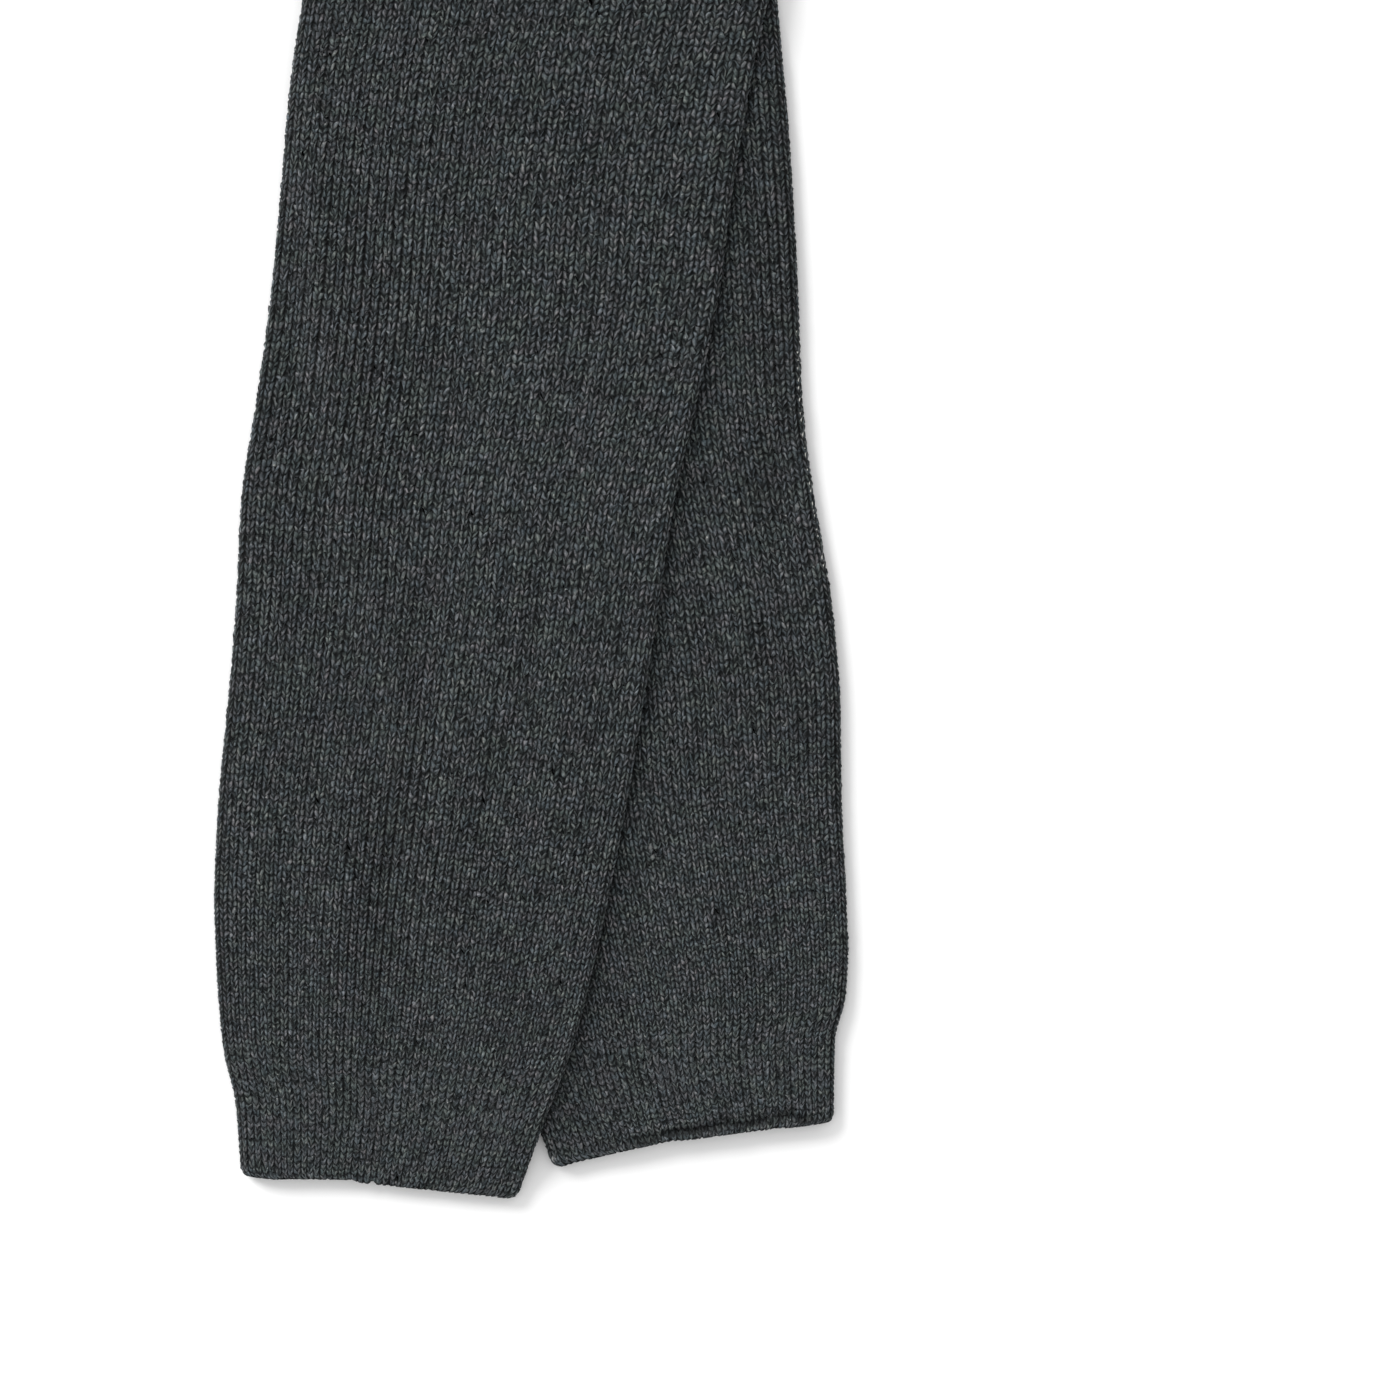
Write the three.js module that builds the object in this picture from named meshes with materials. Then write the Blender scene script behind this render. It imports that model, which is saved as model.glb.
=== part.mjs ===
import * as THREE from 'three';

// Footless knitted leggings for a two-year-old, folded in half along the centre seams and laid
// flat, the left half on top of the right one and the two legs spread a little.
// Millimetres. Z = 0 is the surface below, +Y runs from the hems up to the waist.

const WALL = 1.8; // the knitted cloth
const GAP = 0.3; // between two layers, and between two pieces at their seam
const LAYER = WALL + GAP; // from one layer to the next
const TUBE = WALL + LAYER; // a leg pressed flat
const HALF = TUBE + GAP; // how far the left half lies above the surface, on the right half
const CENTRE_Z = HALF - GAP / 2; // level of the centre front and centre back seams
const RIM = 0.3; // flat end of a layer's rounded edge

const CROTCH_Y = 86.6;
const BODY_TOP_Y = 246.6;
const WAIST_Y = 277;

// The left half climbs over the hidden edge of the right leg.
const CLIMB_START = 22; // before that edge
const CLIMB_END = 6;
const NOTCH_Y = -254; // below this the left hem comes down to the surface beside the right leg
const HEM_DOWN_Y = -276;

// Outlines as they lie: where each half begins and ends across, from the waist to the hem.
const LEFT_HALF = [
  { y: 280, left: -57.5, right: 47 },
  { y: 246.6, left: -59.5, right: 47.5 },
  { y: 190, left: -63.5, right: 50 },
  { y: 140, left: -65.2, right: 54 },
  { y: 105, left: -65.3, right: 61.5 },
  { y: 86.6, left: -65.8, right: 70.4 },
  { y: 52, left: -70.4, right: 64.6 },
  { y: 17, left: -73.7, right: 58.7 },
  { y: -12, left: -76.6, right: 54.9 },
  { y: -42, left: -80.7, right: 48.7 },
  { y: -71, left: -85.1, right: 42.2 },
  { y: -100, left: -86.6, right: 37.8 },
  { y: -130, left: -89, right: 33.1 },
  { y: -160, left: -91.9, right: 28.1 },
  { y: -189, left: -93.1, right: 22.5 },
  { y: -218, left: -91.9, right: 16 },
  { y: -233, left: -90.3, right: 11.9 },
  { y: -248, left: -86.9, right: 6.3 },
  { y: -262, left: -85.7, right: 1.1 },
  { y: -280, left: -84.4, right: -5.4 },
];
const RIGHT_HALF = [
  { y: 280, left: -57.5, right: 47 },
  { y: 246.6, left: -59.5, right: 47.5 },
  { y: 190, left: -63.2, right: 50 },
  { y: 140, left: -64.4, right: 54 },
  { y: 105, left: -63.8, right: 61.5 },
  { y: 86.6, left: -62.8, right: 70.4 },
  { y: 52, left: -59.2, right: 74.3 },
  { y: 17, left: -55.4, right: 76.9 },
  { y: -12, left: -52.3, right: 78.4 },
  { y: -42, left: -49.2, right: 79.6 },
  { y: -71, left: -43.3, right: 83.2 },
  { y: -100, left: -35.5, right: 88 },
  { y: -130, left: -30.9, right: 90.7 },
  { y: -160, left: -27.4, right: 91.2 },
  { y: -189, left: -20.2, right: 92.6 },
  { y: -204, left: -16, right: 93.1 },
  { y: -218, left: -11.8, right: 92.2 },
  { y: -230, left: -8, right: 89.4 },
  { y: -248, left: -1, right: 89 },
  { y: -262, left: 4.6, right: 88.9 },
  { y: -275, left: 8.6, right: 88.4 },
];

// Cuffs: heights at the middle of the leg, and how much the hem falls from left to right.
const CUFFS = {
  left: { top: -235.4, hem: -273, fall: 0.098 },
  right: { top: -226.6, hem: -260.8, fall: -0.159 },
};
const HEM_CORNER = 3; // radius of a hem's corners

// The right hem curls up on itself over most of its width.
const ROLL = { from: 22, full: 42, to: 86, height: 1.5, width: 4.4, groove: 0.5 };

// Soft swells of the upper faces: middle, length, width, height and lean from +Y in degrees.
const SWELLS = [
  { half: 'left', x: -56, y: -178, length: 150, width: 26, height: 1.0, lean: 5 },
  { half: 'left', x: -27, y: -170, length: 170, width: 30, height: 1.1, lean: 6 },
  { half: 'left', x: -6, y: -60, length: 160, width: 44, height: 0.8, lean: 8 },
  { half: 'left', x: -54, y: -20, length: 90, width: 30, height: 0.7, lean: 4 },
  { half: 'right', x: 72, y: -46, length: 22, width: 34, height: 0.9, lean: 12 },
  { half: 'right', x: 69, y: -100, length: 34, width: 44, height: 1.0, lean: -8 },
  { half: 'right', x: 52, y: -196, length: 60, width: 46, height: 0.9, lean: -8 },
];

const smooth = (from, to, value) => THREE.MathUtils.smoothstep(value, from, to);

// A smooth curve through one column of an outline, with no overshoot between its rows.
function curveThrough(rows, column) {
  const points = rows.map((row) => [row.y, row[column]]).sort((a, b) => a[0] - b[0]);
  const rise = points.slice(1).map((p, i) => (p[1] - points[i][1]) / (p[0] - points[i][0]));
  const tangents = points.map((p, i) => {
    const before = rise[Math.max(i - 1, 0)];
    const after = rise[Math.min(i, rise.length - 1)];
    return before * after > 0 ? (2 * before * after) / (before + after) : 0;
  });
  return (y) => {
    const next = points.findIndex((p) => p[0] >= y);
    const i = Math.max((next < 0 ? points.length : next) - 1, 0);
    const [y0, x0] = points[i];
    const [y1, x1] = points[i + 1];
    const span = y1 - y0;
    const t = (y - y0) / span;
    const start = (1 + 2 * t) * (1 - t) ** 2 * x0 + t * (1 - t) ** 2 * span * tangents[i];
    return start + t * t * (3 - 2 * t) * x1 + t * t * (t - 1) * span * tangents[i + 1];
  };
}

const outlines = {
  left: { left: curveThrough(LEFT_HALF, 'left'), right: curveThrough(LEFT_HALF, 'right') },
  right: { left: curveThrough(RIGHT_HALF, 'left'), right: curveThrough(RIGHT_HALF, 'right') },
};

// Height of a half's underside.
function restHeight(half, x, y) {
  if (half === 'right') return 0;
  const hidden = outlines.right.left(y);
  const climbed = smooth(hidden - CLIMB_START, hidden - CLIMB_END, x);
  return HALF * climbed * smooth(HEM_DOWN_Y, NOTCH_Y, y);
}

// How far the upper face swells; the right leg only beside the left one, never under it.
function swell(half, x, y) {
  const bare = half === 'left' ? 1 : smooth(2, 12, x - outlines.left.right(y));
  const heights = SWELLS.filter((fold) => fold.half === half).map((fold) => {
    const lean = THREE.MathUtils.degToRad(fold.lean);
    const along = (y - fold.y) * Math.cos(lean) + (x - fold.x) * Math.sin(lean);
    const across = (x - fold.x) * Math.cos(lean) - (y - fold.y) * Math.sin(lean);
    const reach = Math.hypot(along / (fold.length / 2), across / (fold.width / 2));
    return fold.height * (1 - smooth(0, 1, reach));
  });
  return bare * heights.reduce((sum, height) => sum + height, 0);
}

// One row across a half: it leans with the leg, from level at the crotch to the hem's fall.
function rowAcross(half, y, inset = 0) {
  const { fall, hem } = CUFFS[half];
  const lean = fall * THREE.MathUtils.clamp((CROTCH_Y - y) / (CROTCH_Y - hem), 0, 1);
  const { left, right } = outlines[half];
  const reach = (lean * (right(y) - left(y))) / 2;
  const start = { x: left(y + reach) + inset, y: y + reach };
  const end = { x: right(y - reach) - inset, y: y - reach };
  const yAt = (x) => start.y + ((end.y - start.y) * (x - start.x)) / (end.x - start.x);
  return { y, left: start.x, right: end.x, yAt };
}

const EDGE_ANGLES = [0, 0.5, 1].map((turn) => (turn * Math.PI) / 2);
const COLUMNS = { left: 13, right: 8 }; // spans across the flat part of each half

// The flat part's columns between the two rounded edges, the same in each layer of a half.
function flatColumns(half, row) {
  const count = COLUMNS[half];
  const from = row.left + WALL;
  const span = row.right - WALL - LAYER - from;
  return Array.from({ length: count }, (_, i) => from + (span * (i + 0.5)) / count);
}

// A wall between two grids of points [row][column]; `closed` joins its last column to the first.
function wallBetween(outer, inner, closed) {
  const rows = outer.length;
  const columns = outer[0].length;
  const spans = closed ? columns : columns - 1;
  const at = (side, i, j) => (side * rows + i) * columns + (j % columns);
  const index = [];
  const quad = (a, b, c, d) => index.push(a, b, c, a, c, d);
  for (let i = 0; i < rows - 1; i++) {
    for (let j = 0; j < spans; j++) {
      quad(at(0, i, j), at(0, i, j + 1), at(0, i + 1, j + 1), at(0, i + 1, j));
      quad(at(1, i, j), at(1, i + 1, j), at(1, i + 1, j + 1), at(1, i, j + 1));
    }
    if (!closed) {
      quad(at(0, i, 0), at(0, i + 1, 0), at(1, i + 1, 0), at(1, i, 0));
      quad(at(0, i + 1, spans), at(0, i, spans), at(1, i, spans), at(1, i + 1, spans));
    }
  }
  const last = rows - 1;
  for (let j = 0; j < spans; j++) {
    quad(at(0, 0, j + 1), at(0, 0, j), at(1, 0, j), at(1, 0, j + 1));
    quad(at(0, last, j), at(0, last, j + 1), at(1, last, j + 1), at(1, last, j));
  }
  const geometry = new THREE.BufferGeometry();
  const points = [...outer.flat(), ...inner.flat()].flat();
  geometry.setAttribute('position', new THREE.Float32BufferAttribute(points, 3));
  geometry.setIndex(index);
  geometry.computeVertexNormals();
  return geometry;
}

// The front panels lie outermost: in the body they wrap round the fold at the centre to meet each
// other, and the back panels stop inside that wrap. In the legs all four end at the same edges.
const WRAP = { from: CROTCH_Y + 4, full: CROTCH_Y + 12 };
const TUCK = { from: CROTCH_Y - 6, full: CROTCH_Y + 2 };
const BODY_ROWS = [TUCK.from, TUCK.full, WRAP.from, WRAP.full, 118, 145, 175, 210, BODY_TOP_Y];
const LEG_ROWS = 18;
const ROUND = WALL - RIM; // radius of a layer's rounded edge

// Points through the cloth along one row. `far` is a height in the layer on the face away from
// the fold's middle level, and `near` one on the face towards it.
function frontRow(half, row) {
  const wrap = smooth(WRAP.from, WRAP.full, row.y);
  const radius = THREE.MathUtils.lerp(ROUND, WALL + LAYER, wrap);
  const inside = THREE.MathUtils.lerp(ROUND, LAYER, wrap);
  const side = EDGE_ANGLES.map((angle) => {
    const x = row.left + ROUND * (1 - Math.cos(angle));
    return { farX: x, far: WALL - ROUND * (1 - Math.sin(angle)), nearX: x, near: 0 };
  });
  const flat = flatColumns(half, row);
  const centre = EDGE_ANGLES.toReversed().map((angle) => ({
    farX: row.right - radius * (1 - Math.cos(angle)),
    far: WALL - radius * (1 - Math.sin(angle)),
    nearX: row.right - wrap * WALL - inside * (1 - Math.cos(angle)),
    near: -wrap * LAYER * (1 - Math.sin(angle)),
  }));
  return [...side, ...flat.map((x) => ({ farX: x, far: WALL, nearX: x, near: 0 })), ...centre];
}

function backRow(half, row) {
  const tuck = smooth(TUCK.from, TUCK.full, row.y);
  const right = row.right - tuck * LAYER;
  const side = EDGE_ANGLES.map((angle) => {
    const x = row.left + ROUND * (1 - Math.cos(angle));
    return { farX: x, far: WALL, nearX: x, near: ROUND * (1 - Math.sin(angle)) };
  });
  const flat = flatColumns(half, row);
  const centre = EDGE_ANGLES.toReversed().map((angle) => {
    const x = right - ROUND * (1 - Math.cos(angle));
    const cut = ROUND * (1 - Math.sin(angle));
    return { farX: x, far: WALL - cut * tuck, nearX: x, near: cut * (1 - tuck) };
  });
  return [...side, ...flat.map((x) => ({ farX: x, far: WALL, nearX: x, near: 0 })), ...centre];
}

// The left half's front is its upper layer and the right half's front is its lower one.
function panel(half, side) {
  const upper = (side === 'front') === (half === 'left');
  const bottom = CUFFS[half].top + GAP;
  const step = (TUCK.from - bottom) / LEG_ROWS;
  const legRows = Array.from({ length: LEG_ROWS }, (_, i) => bottom + step * i);
  const rows = [...legRows, ...BODY_ROWS].map((y) => rowAcross(half, y));
  const points = (row, face) =>
    (side === 'front' ? frontRow : backRow)(half, row).map((column) => {
      const x = column[`${face}X`];
      const y = row.yAt(x);
      const base = restHeight(half, x, y) + (upper ? LAYER + swell(half, x, y) : 0);
      return [x, y, base + (half === 'left' ? column[face] : WALL - column[face])];
    });
  const far = rows.map((row) => points(row, 'far'));
  const near = rows.map((row) => points(row, 'near'));
  return half === 'left' ? wallBetween(far, near, false) : wallBetween(near, far, false);
}

// The right hem's roll and the groove above it, at a height over the hem.
function roll(half, x, height) {
  if (half === 'left') return 0;
  const share = smooth(ROLL.from, ROLL.full, x) * (1 - smooth(ROLL.to - 8, ROLL.to, x));
  if (height < ROLL.width) {
    return ROLL.height * share * Math.sin(((height + 0.6) / (ROLL.width + 0.6)) * Math.PI);
  }
  return -ROLL.groove * share * (1 - smooth(ROLL.width + 0.6, ROLL.width + 3, height));
}

// Once round a cuff pressed flat, `depth` inside its outer face.
function cuffLoop(half, y, depth) {
  const height = y - CUFFS[half].hem;
  const short = Math.max(HEM_CORNER - height, 0);
  const inset = HEM_CORNER - Math.sqrt(HEM_CORNER ** 2 - short ** 2);
  const row = rowAcross(half, y, inset * 0.8 + depth);
  const radius = TUBE / 2 - depth;
  const line = [
    ...EDGE_ANGLES.map((angle) => [row.left + radius * (1 - Math.cos(angle)), Math.sin(angle)]),
    ...flatColumns(half, row).map((x) => [x, 1]),
    ...EDGE_ANGLES.toReversed().map((angle) => [
      row.right - radius * (1 - Math.cos(angle)),
      Math.sin(angle),
    ]),
  ];
  const place = (x, level, up) => {
    const middle = restHeight(half, x, row.yAt(x)) + TUBE / 2;
    if (!up) return [x, row.yAt(x), middle - radius * level];
    const raised = swell(half, x, row.yAt(x)) + (depth === 0 ? roll(half, x, height) : 0);
    return [x, row.yAt(x), middle + (radius + raised) * level];
  };
  const over = line.map(([x, level]) => place(x, level, true));
  const under = line.slice(1, -1).toReversed().map(([x, level]) => place(x, level, false));
  return [...over, ...under];
}

const HEM_STEPS = [0, 0.9, 2.2, 3.4, 4.4, 5.2, 7.5, 13, 20, 28];

function cuff(half) {
  const { top, hem } = CUFFS[half];
  const rows = [...HEM_STEPS.map((height) => hem + height), top];
  const loops = (depth) => rows.map((y) => cuffLoop(half, y, depth));
  return wallBetween(loops(0), loops(WALL), true);
}

// The waistband's ring, folded in half with the body: round the centre front, round one side,
// into the centre back and round the other side.
const FOLD_STEPS = 6;

function waistLoop(y, out) {
  const left = outlines.left.left(y) + TUBE / 2;
  const right = outlines.left.right(y) - CENTRE_Z;
  const folds = [
    { x: right, z: CENTRE_Z, radius: CENTRE_Z - WALL / 2 + out, from: -90, to: 90 },
    { x: left, z: HALF + TUBE / 2, radius: LAYER / 2 + out, from: 90, to: 270 },
    { x: right, z: CENTRE_Z, radius: LAYER / 2 - out, from: 90, to: -90 },
    { x: left, z: TUBE / 2, radius: LAYER / 2 + out, from: 90, to: 270 },
  ];
  const loop = folds.flatMap(({ x, z, radius, from, to }) =>
    Array.from({ length: FOLD_STEPS + 1 }, (_, i) => {
      const angle = THREE.MathUtils.degToRad(from + ((to - from) * i) / FOLD_STEPS);
      return [x + radius * Math.cos(angle), y, z + radius * Math.sin(angle)];
    }),
  );
  return loop.toReversed();
}

function waistband() {
  const rows = [BODY_TOP_Y + GAP, (BODY_TOP_Y + WAIST_Y) / 2, WAIST_Y];
  const loops = (out) => rows.map((y) => waistLoop(y, out));
  return wallBetween(loops(WALL / 2), loops(-WALL / 2), true);
}

const marlKnit = new THREE.MeshStandardMaterial({ color: 0x383b3c, roughness: 0.95, metalness: 0 });
const cuffKnit = new THREE.MeshStandardMaterial({ color: 0x3a3d3e, roughness: 0.95, metalness: 0 });

const leggings = new THREE.Group();

function add(name, geometry, material) {
  const mesh = new THREE.Mesh(geometry, material);
  mesh.name = name;
  leggings.add(mesh);
}

add('front_left', panel('left', 'front'), marlKnit);
add('back_left', panel('left', 'back'), marlKnit);
add('back_right', panel('right', 'back'), marlKnit);
add('front_right', panel('right', 'front'), marlKnit);
add('cuff_left', cuff('left'), cuffKnit);
add('cuff_right', cuff('right'), cuffKnit);
add('waistband', waistband(), cuffKnit);

export default leggings;
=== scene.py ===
"""Footless leggings in charcoal marl stockinette, folded in half and laid flat on a pale table."""

import math

import bpy
import numpy as np
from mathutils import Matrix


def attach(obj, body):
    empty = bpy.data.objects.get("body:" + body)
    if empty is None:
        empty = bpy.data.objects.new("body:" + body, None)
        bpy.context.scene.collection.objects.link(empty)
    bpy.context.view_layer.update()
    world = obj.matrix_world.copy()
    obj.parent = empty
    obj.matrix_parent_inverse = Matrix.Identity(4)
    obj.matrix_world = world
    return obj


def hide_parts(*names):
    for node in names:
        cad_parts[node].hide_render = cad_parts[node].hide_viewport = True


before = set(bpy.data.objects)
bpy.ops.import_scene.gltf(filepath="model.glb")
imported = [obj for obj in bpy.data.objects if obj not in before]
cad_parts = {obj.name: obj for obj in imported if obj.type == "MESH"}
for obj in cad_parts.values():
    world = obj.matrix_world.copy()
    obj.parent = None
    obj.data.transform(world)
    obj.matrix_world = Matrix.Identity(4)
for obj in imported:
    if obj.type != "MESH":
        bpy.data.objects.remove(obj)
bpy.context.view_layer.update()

# Sizes are in millimetres up to the moment a mesh is made. +Y runs from the hems to the waist.
MM = 0.001
WALL = 1.8  # the knitted cloth
GAP = 0.3  # between two pieces at their seam
LAYER = WALL + GAP  # from one layer of cloth to the next
TUBE = WALL + LAYER  # a leg pressed flat
HALF = TUBE + GAP  # how far the left half lies above the table, on the right half
CENTRE_Z = HALF - GAP / 2  # middle of the fold at the body's centre
BACK_SHORTER = LAYER + 1.2  # how far the back panels end inside that fold
BACK_TIGHTER = 0.75  # and how much smaller their own edge's radius is
CROTCH_Y = 86.6
BODY_TOP_Y = 246.6
WAIST_Y = 277.0

# The left half climbs over the hidden edge of the right leg, and comes down beside it at the hem.
CLIMB_START = 22  # before that edge
CLIMB_END = 6
NOTCH_Y = -254  # below this the left hem comes down
HEM_DOWN_Y = -276
LOWEST_Y = -277  # where the outlines end

# Outlines as they lie: y, and x of the left and of the right edge, from the waist to the hem.
LEFT_HALF = (
    (280, -57.5, 47), (246.6, -59.5, 47.5), (190, -63.5, 50), (140, -65.2, 54), (105, -65.3, 61.5),
    (86.6, -65.8, 70.4), (52, -70.4, 64.6), (17, -73.7, 58.7), (-12, -76.6, 54.9),
    (-42, -80.7, 48.7), (-71, -85.1, 42.2), (-100, -86.6, 37.8), (-130, -89, 33.1),
    (-160, -91.9, 28.1), (-189, -93.1, 22.5), (-218, -91.9, 16), (-233, -90.3, 11.9),
    (-248, -86.9, 6.3), (-262, -85.7, 1.1), (-280, -84.4, -5.4),
)
RIGHT_HALF = (
    (280, -57.5, 47), (246.6, -59.5, 47.5), (190, -63.2, 50), (140, -64.4, 54), (105, -63.8, 61.5),
    (86.6, -62.8, 70.4), (52, -59.2, 74.3), (17, -55.4, 76.9), (-12, -52.3, 78.4),
    (-42, -49.2, 79.6), (-71, -43.3, 83.2), (-100, -35.5, 88), (-130, -30.9, 90.7),
    (-160, -27.4, 91.2), (-189, -20.2, 92.6), (-204, -16, 93.1), (-218, -11.8, 92.2),
    (-230, -8, 89.4), (-248, -1, 89), (-262, 4.6, 88.9), (-275, 8.6, 88.4),
)

# Cuffs: the seam and the hem at the middle of the leg, and how much the hem falls to the right.
CUFFS = {
    "left": {"top": -235.4, "hem": -273.0, "fall": 0.098},
    "right": {"top": -226.6, "hem": -260.8, "fall": -0.159},
}
HEM_CORNER = 3.0  # radius of a hem's corners
CORNER_INSET = 0.8  # how much of that radius the corners lose across
# How far the hem's edge stands above a straight line, at x along it.
HEM_BOWS = {
    "left": (
        (-86, -1.1), (-76, -1.2), (-70, -0.5), (-62, 0.2), (-54, 0.9), (-47.8, 0.4), (-46.5, 1.6),
        (-45.4, 0.5), (-36, 0.5), (-8, 0.5), (-3, 0),
    ),
    "right": (
        (6, 0), (15, 0.9), (28, 1.7), (40, 2.1), (48, 1.6), (62, 1.1), (70, 0.6), (78, 0),
        (90, -0.4),
    ),
}
HEM_BOW_HEIGHT = 14  # how far up the cuff those bows fade out
# The right hem curls up into a roll, from "start" to "end" across, with a crease above it.
ROLL = {"start": 18, "full": 32, "fade": 80, "end": 88, "height": 1.2}
ROLL_LUMPS = 0.3  # how uneven its height is
ROLL_FOOT = 0.6  # how far below the hem's edge its round section begins
# The crease's "dark" and "darkest" set the painted shade in it.
CREASE = {"depth": 1.1, "width": 2.7, "dark": 0.75, "darkest": 1.1}  # sizes, and its shade
# x along the hem, how wide the roll is there, and how deep the crease above it is.
ROLL_SHAPE = (
    (14, 2.0, 0), (22, 2.3, 0.2), (29, 1.9, 0.7), (34, 2.3, 0.8), (38, 2.4, 0.75), (43, 2.9, 1.1),
    (48, 2.9, 1.1), (53, 3.2, 0.8), (57, 3.3, 0.75), (62, 2.9, 0.8), (67, 2.6, 0.85),
    (71, 3.6, 0.6), (76, 3.2, 0.6), (81, 2.0, 0.95), (85, 1.9, 0.2), (92, 1.8, 0),
)

# Soft swells of the upper faces: half, middle x and y, length, width, height, lean in degrees.
SWELLS = (
    ("left", -56, -178, 150, 26, 1.0, 5),
    ("left", -27, -170, 170, 30, 1.1, 6),
    ("left", -6, -60, 160, 44, 0.8, 8),
    ("left", -40, -20, 90, 60, 0.4, 4),
    ("right", 72, -46, 22, 34, 0.9, 12),
    ("right", 69, -100, 34, 44, 1.0, -8),
    ("right", 52, -196, 60, 46, 0.9, -8),
)
# Softly darker and lighter places painted into the cloth's colour, among them painted shade and
# light beside the right hem's roll and crease: half, middle x and y, length, width, change, lean.
TONES_AND_PAINTED_SHADE_AND_LIGHT = (
    ("left", -41.5, -172, 230, 22, -0.2, 6),
    ("left", -41, -168, 26, 28, -0.14, 0),
    ("left", -54, -40, 190, 60, -0.13, 4),
    ("left", -67, 2, 90, 14, -0.16, 0),
    ("left", -44, -48, 90, 14, 0.12, 0),
    ("left", -50, -124, 90, 22, -0.2, 8),
    ("left", -28, -29, 60, 9, -0.2, 0),
    ("left", -6, -50, 240, 50, 0.09, 8),
    ("left", 27, -74, 60, 13, -0.1, 8),
    ("left", -34, -185, 110, 12, -0.12, 4),
    ("left", -4, -222, 60, 30, -0.1, 6),
    ("left", -82, -170, 110, 12, 0.18, 0),
    ("left", -74, -258, 20, 34, 0.08, 0),
    ("right", 72, -20, 200, 30, -0.24, 4),
    ("right", 68, -67, 32, 26, -0.22, 0),
    ("right", 42, -68, 60, 12, 0.14, 8),
    ("right", 74, -125, 90, 44, -0.14, -8),
    ("right", 58, -135, 130, 40, -0.1, 0),
    ("right", 39, -226, 36, 46, 0.05, 0),
    ("right", 57, -252.3, 10, 6, -0.4, 10),
    ("right", 74, -251.4, 6, 15, -0.4, -9),
    ("right", 38, -255.5, 6, 56, 0.35, -9),
    ("right", 73, -248.4, 4, 16, 0.3, -9),
)
# Where the columns of stitches stand apart, by the same measures, and how that changes the colour:
# painted shade in the gap between two columns, and a little lighter on a column's middle and the
# rest.
OPEN_COLUMNS = (
    ("left", -50, -20, 310, 92, 1.0, 6),
    ("left", -40, -186, 170, 66, 0.95, 6),
    ("right", 73, -8, 150, 34, 0.8, 0),
)
OPEN_GAP_PAINTED_SHADE = -0.95
OPEN_MIDDLE = 0.4
OPEN_REST = 0.09
# A shade above PALE_FROM begins to whiten, and at PALE_FULL it is a pale spot; the flecks and the
# painted light between loose stitches are such spots.
PALE_FROM = 1.42
PALE_FULL = 2.2
# Pale flecks of undyed fibre: half, x, y and strength.
FLECKS = (("left", -69.6, -77.5, 1.0), ("left", 37.6, -93.4, 0.6), ("right", 85.4, -127.2, 0.7))
FLECK_WIDTH = 0.5
FLECK_LENGTH = 1.2
# Painted light: pale spots stand for the light that shows between most of the loose outermost
# stitches of the right leg, at these heights.
LOOSE_HIGH = -12
LOOSE_LOW = -94
LOOSE_SHARE = 0.7
SEEN_THROUGH_PAINTED_LIGHT = 2.6  # their shade
# At the overlap's edge painted shade darkens the cloth beside it, and painted light makes both
# legs a little lighter farther off.
OVERLAP_PAINTED_SHADE = 0.4
OVERLAP_PAINTED_LIGHT = 0.36

# The knit: stitches across one face of a flat leg, and the height of a course along the leg.
WALES = 45
COURSE_HEIGHTS = ((-280, 1.75), (-235, 1.72), (-218, 1.62), (-174, 1.79), (-130, 2.06), (280, 2.06))
STRAIGHTER = 1.5  # stitches by which the columns high on the left leg keep to its outer edge
CHEVRON = 0.72  # how far a stitch's middle lies below its sides, in courses
# How far the points stray from an even knit, in slow waves and each on its own: across it in
# stitches, and along it in courses.
STRAY_ACROSS = {"slow": 0.07, "quicker": 0.08, "each": 0.065}
STRAY_ALONG = {"slow": 0.25, "each": 0.18}
# The side seams, just inside the legs' outer edges, in stitches across and millimetres deep.
SEAM_PLACE = {"left": 1.12, "right": WALES - 1}
SEAM_REACH = 0.4
SEAM_DEPTH = 0.2
SEAM_DARK = {"left": 0.15, "right": 0.1}  # how much darker than the cloth
SEAM_DARKER = 0.35  # and how much more so low on the left leg
# Along the folds painted shade darkens the gaps between courses, and the shade is uneven: fully so
# up to the first number of stitches inward, and no more at the second.
FOLD_REACH = (0.7, 1.7)
FOLD_GAP_PAINTED_SHADE = 0.7
FOLD_UNEVEN = 0.4


# ---------------------------------------------------------------- the garment's form


def smooth(start, end, value):
    """0 to 1 from start to end, softly."""
    t = np.clip((value - start) / (end - start), 0, 1)
    return t * t * (3 - 2 * t)


def curve_through(rows, column):
    """A smooth curve through one column of an outline, with no overshoot between its rows."""
    table = np.array(sorted(rows), float)
    y, x = table[:, 0], table[:, column]
    rise = np.diff(x) / np.diff(y)
    before, after = np.append(rise[0], rise), np.append(rise, rise[-1])
    same = before * after > 0
    tangent = np.where(same, 2 * before * after / np.where(same, before + after, 1), 0)

    def at(where):
        i = np.clip(np.searchsorted(y, where) - 1, 0, len(y) - 2)
        span = y[i + 1] - y[i]
        t = (where - y[i]) / span
        low = (1 + 2 * t) * (1 - t) ** 2 * x[i] + t * (1 - t) ** 2 * span * tangent[i]
        return low + t * t * (3 - 2 * t) * x[i + 1] + t * t * (t - 1) * span * tangent[i + 1]

    return at


ROLL_LINE = curve_through(ROLL_SHAPE, 1)
CREASE_SHARE = curve_through(ROLL_SHAPE, 2)
HEM_LINES = {half: curve_through(rows, 1) for half, rows in HEM_BOWS.items()}
OUTLINES = {
    half: {"left": curve_through(rows, 1), "right": curve_through(rows, 2)}
    for half, rows in (("left", LEFT_HALF), ("right", RIGHT_HALF))
}


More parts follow.
